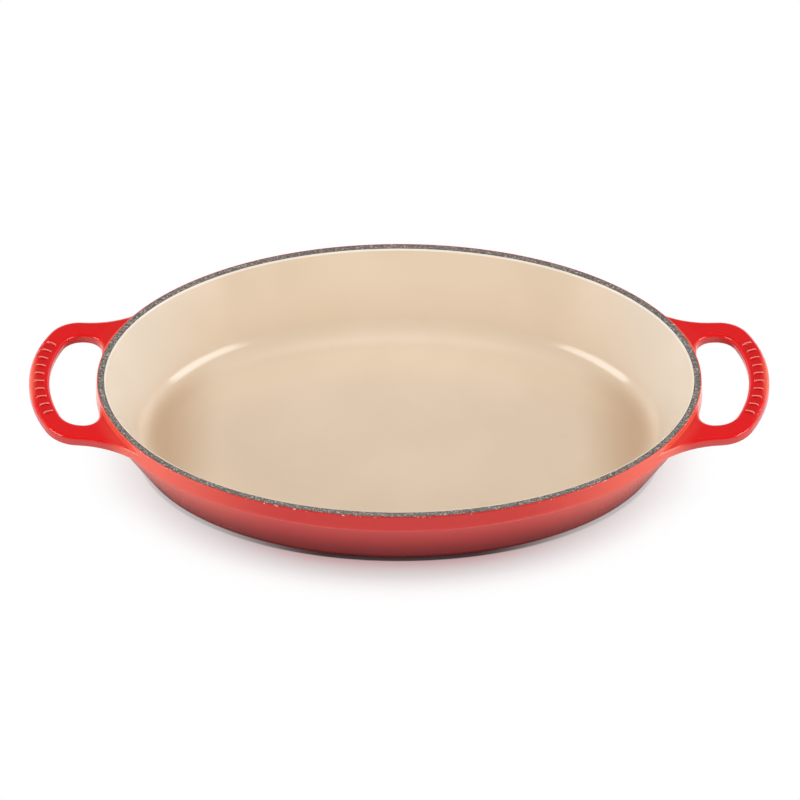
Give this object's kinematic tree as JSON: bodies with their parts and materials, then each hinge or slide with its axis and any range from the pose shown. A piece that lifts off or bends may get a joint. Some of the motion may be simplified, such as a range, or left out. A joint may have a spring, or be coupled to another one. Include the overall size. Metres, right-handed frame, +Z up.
{
  "type": "gratin dish",
  "caption": "Oval enamelled cast-iron gratin dish with sloping walls, a flat floor, a bare dark rim and a loop handle at each end",
  "frame": {"origin": "middle of the box of the dish and its handles, on the face that it stands on", "axes": "+X along the length, through both handles; +Y across the width; +Z up"},
  "size_m": [0.441, 0.2434, 0.059],
  "materials": {
    "iron": "as cast",
    "red_enamel": "gloss enamel, orange-red deepening to dark red towards the base",
    "sand_enamel": "gloss enamel",
    "ground_coat": "matt speckled ground coat"
  },
  "bodies": {
    "root": {"iron_casting": "iron", "outside_enamel": "red_enamel", "sole_enamel": "red_enamel", "inside_enamel": "sand_enamel", "rim_ground_coat": "ground_coat", "foot_ground_coat": "ground_coat"}
  },
  "joints": []
}
